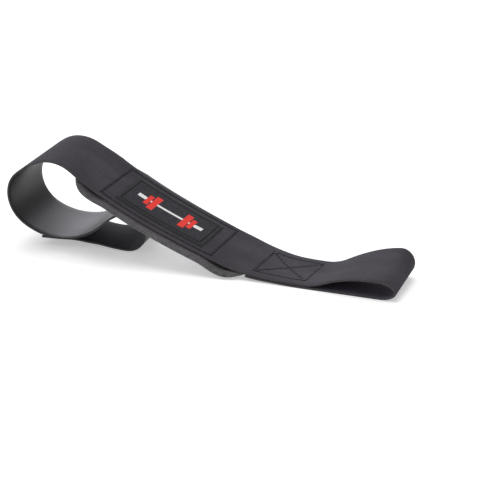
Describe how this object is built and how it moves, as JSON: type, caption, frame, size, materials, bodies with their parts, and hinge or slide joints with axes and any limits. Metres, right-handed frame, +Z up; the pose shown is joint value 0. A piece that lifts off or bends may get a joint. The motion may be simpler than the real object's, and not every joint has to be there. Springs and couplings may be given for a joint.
{
  "type": "weightlifting strap",
  "caption": "Open weightlifting strap: a band sewn into a hand loop and curled into a wide wrist loop, with a soft pad under it and a woven label on top.",
  "frame": {"origin": "on the table, under the middle of the whole part", "axes": "+X along the band towards the hand loop, +Y across the band towards its far edge, +Z up from the table"},
  "size_m": [0.286, 0.079, 0.0733],
  "materials": {
    "band": "matt",
    "pad": "brushed",
    "label": "woven"
  },
  "bodies": {
    "root": {"strap": "band", "wrist_pad": "pad", "label": "label"}
  },
  "joints": []
}
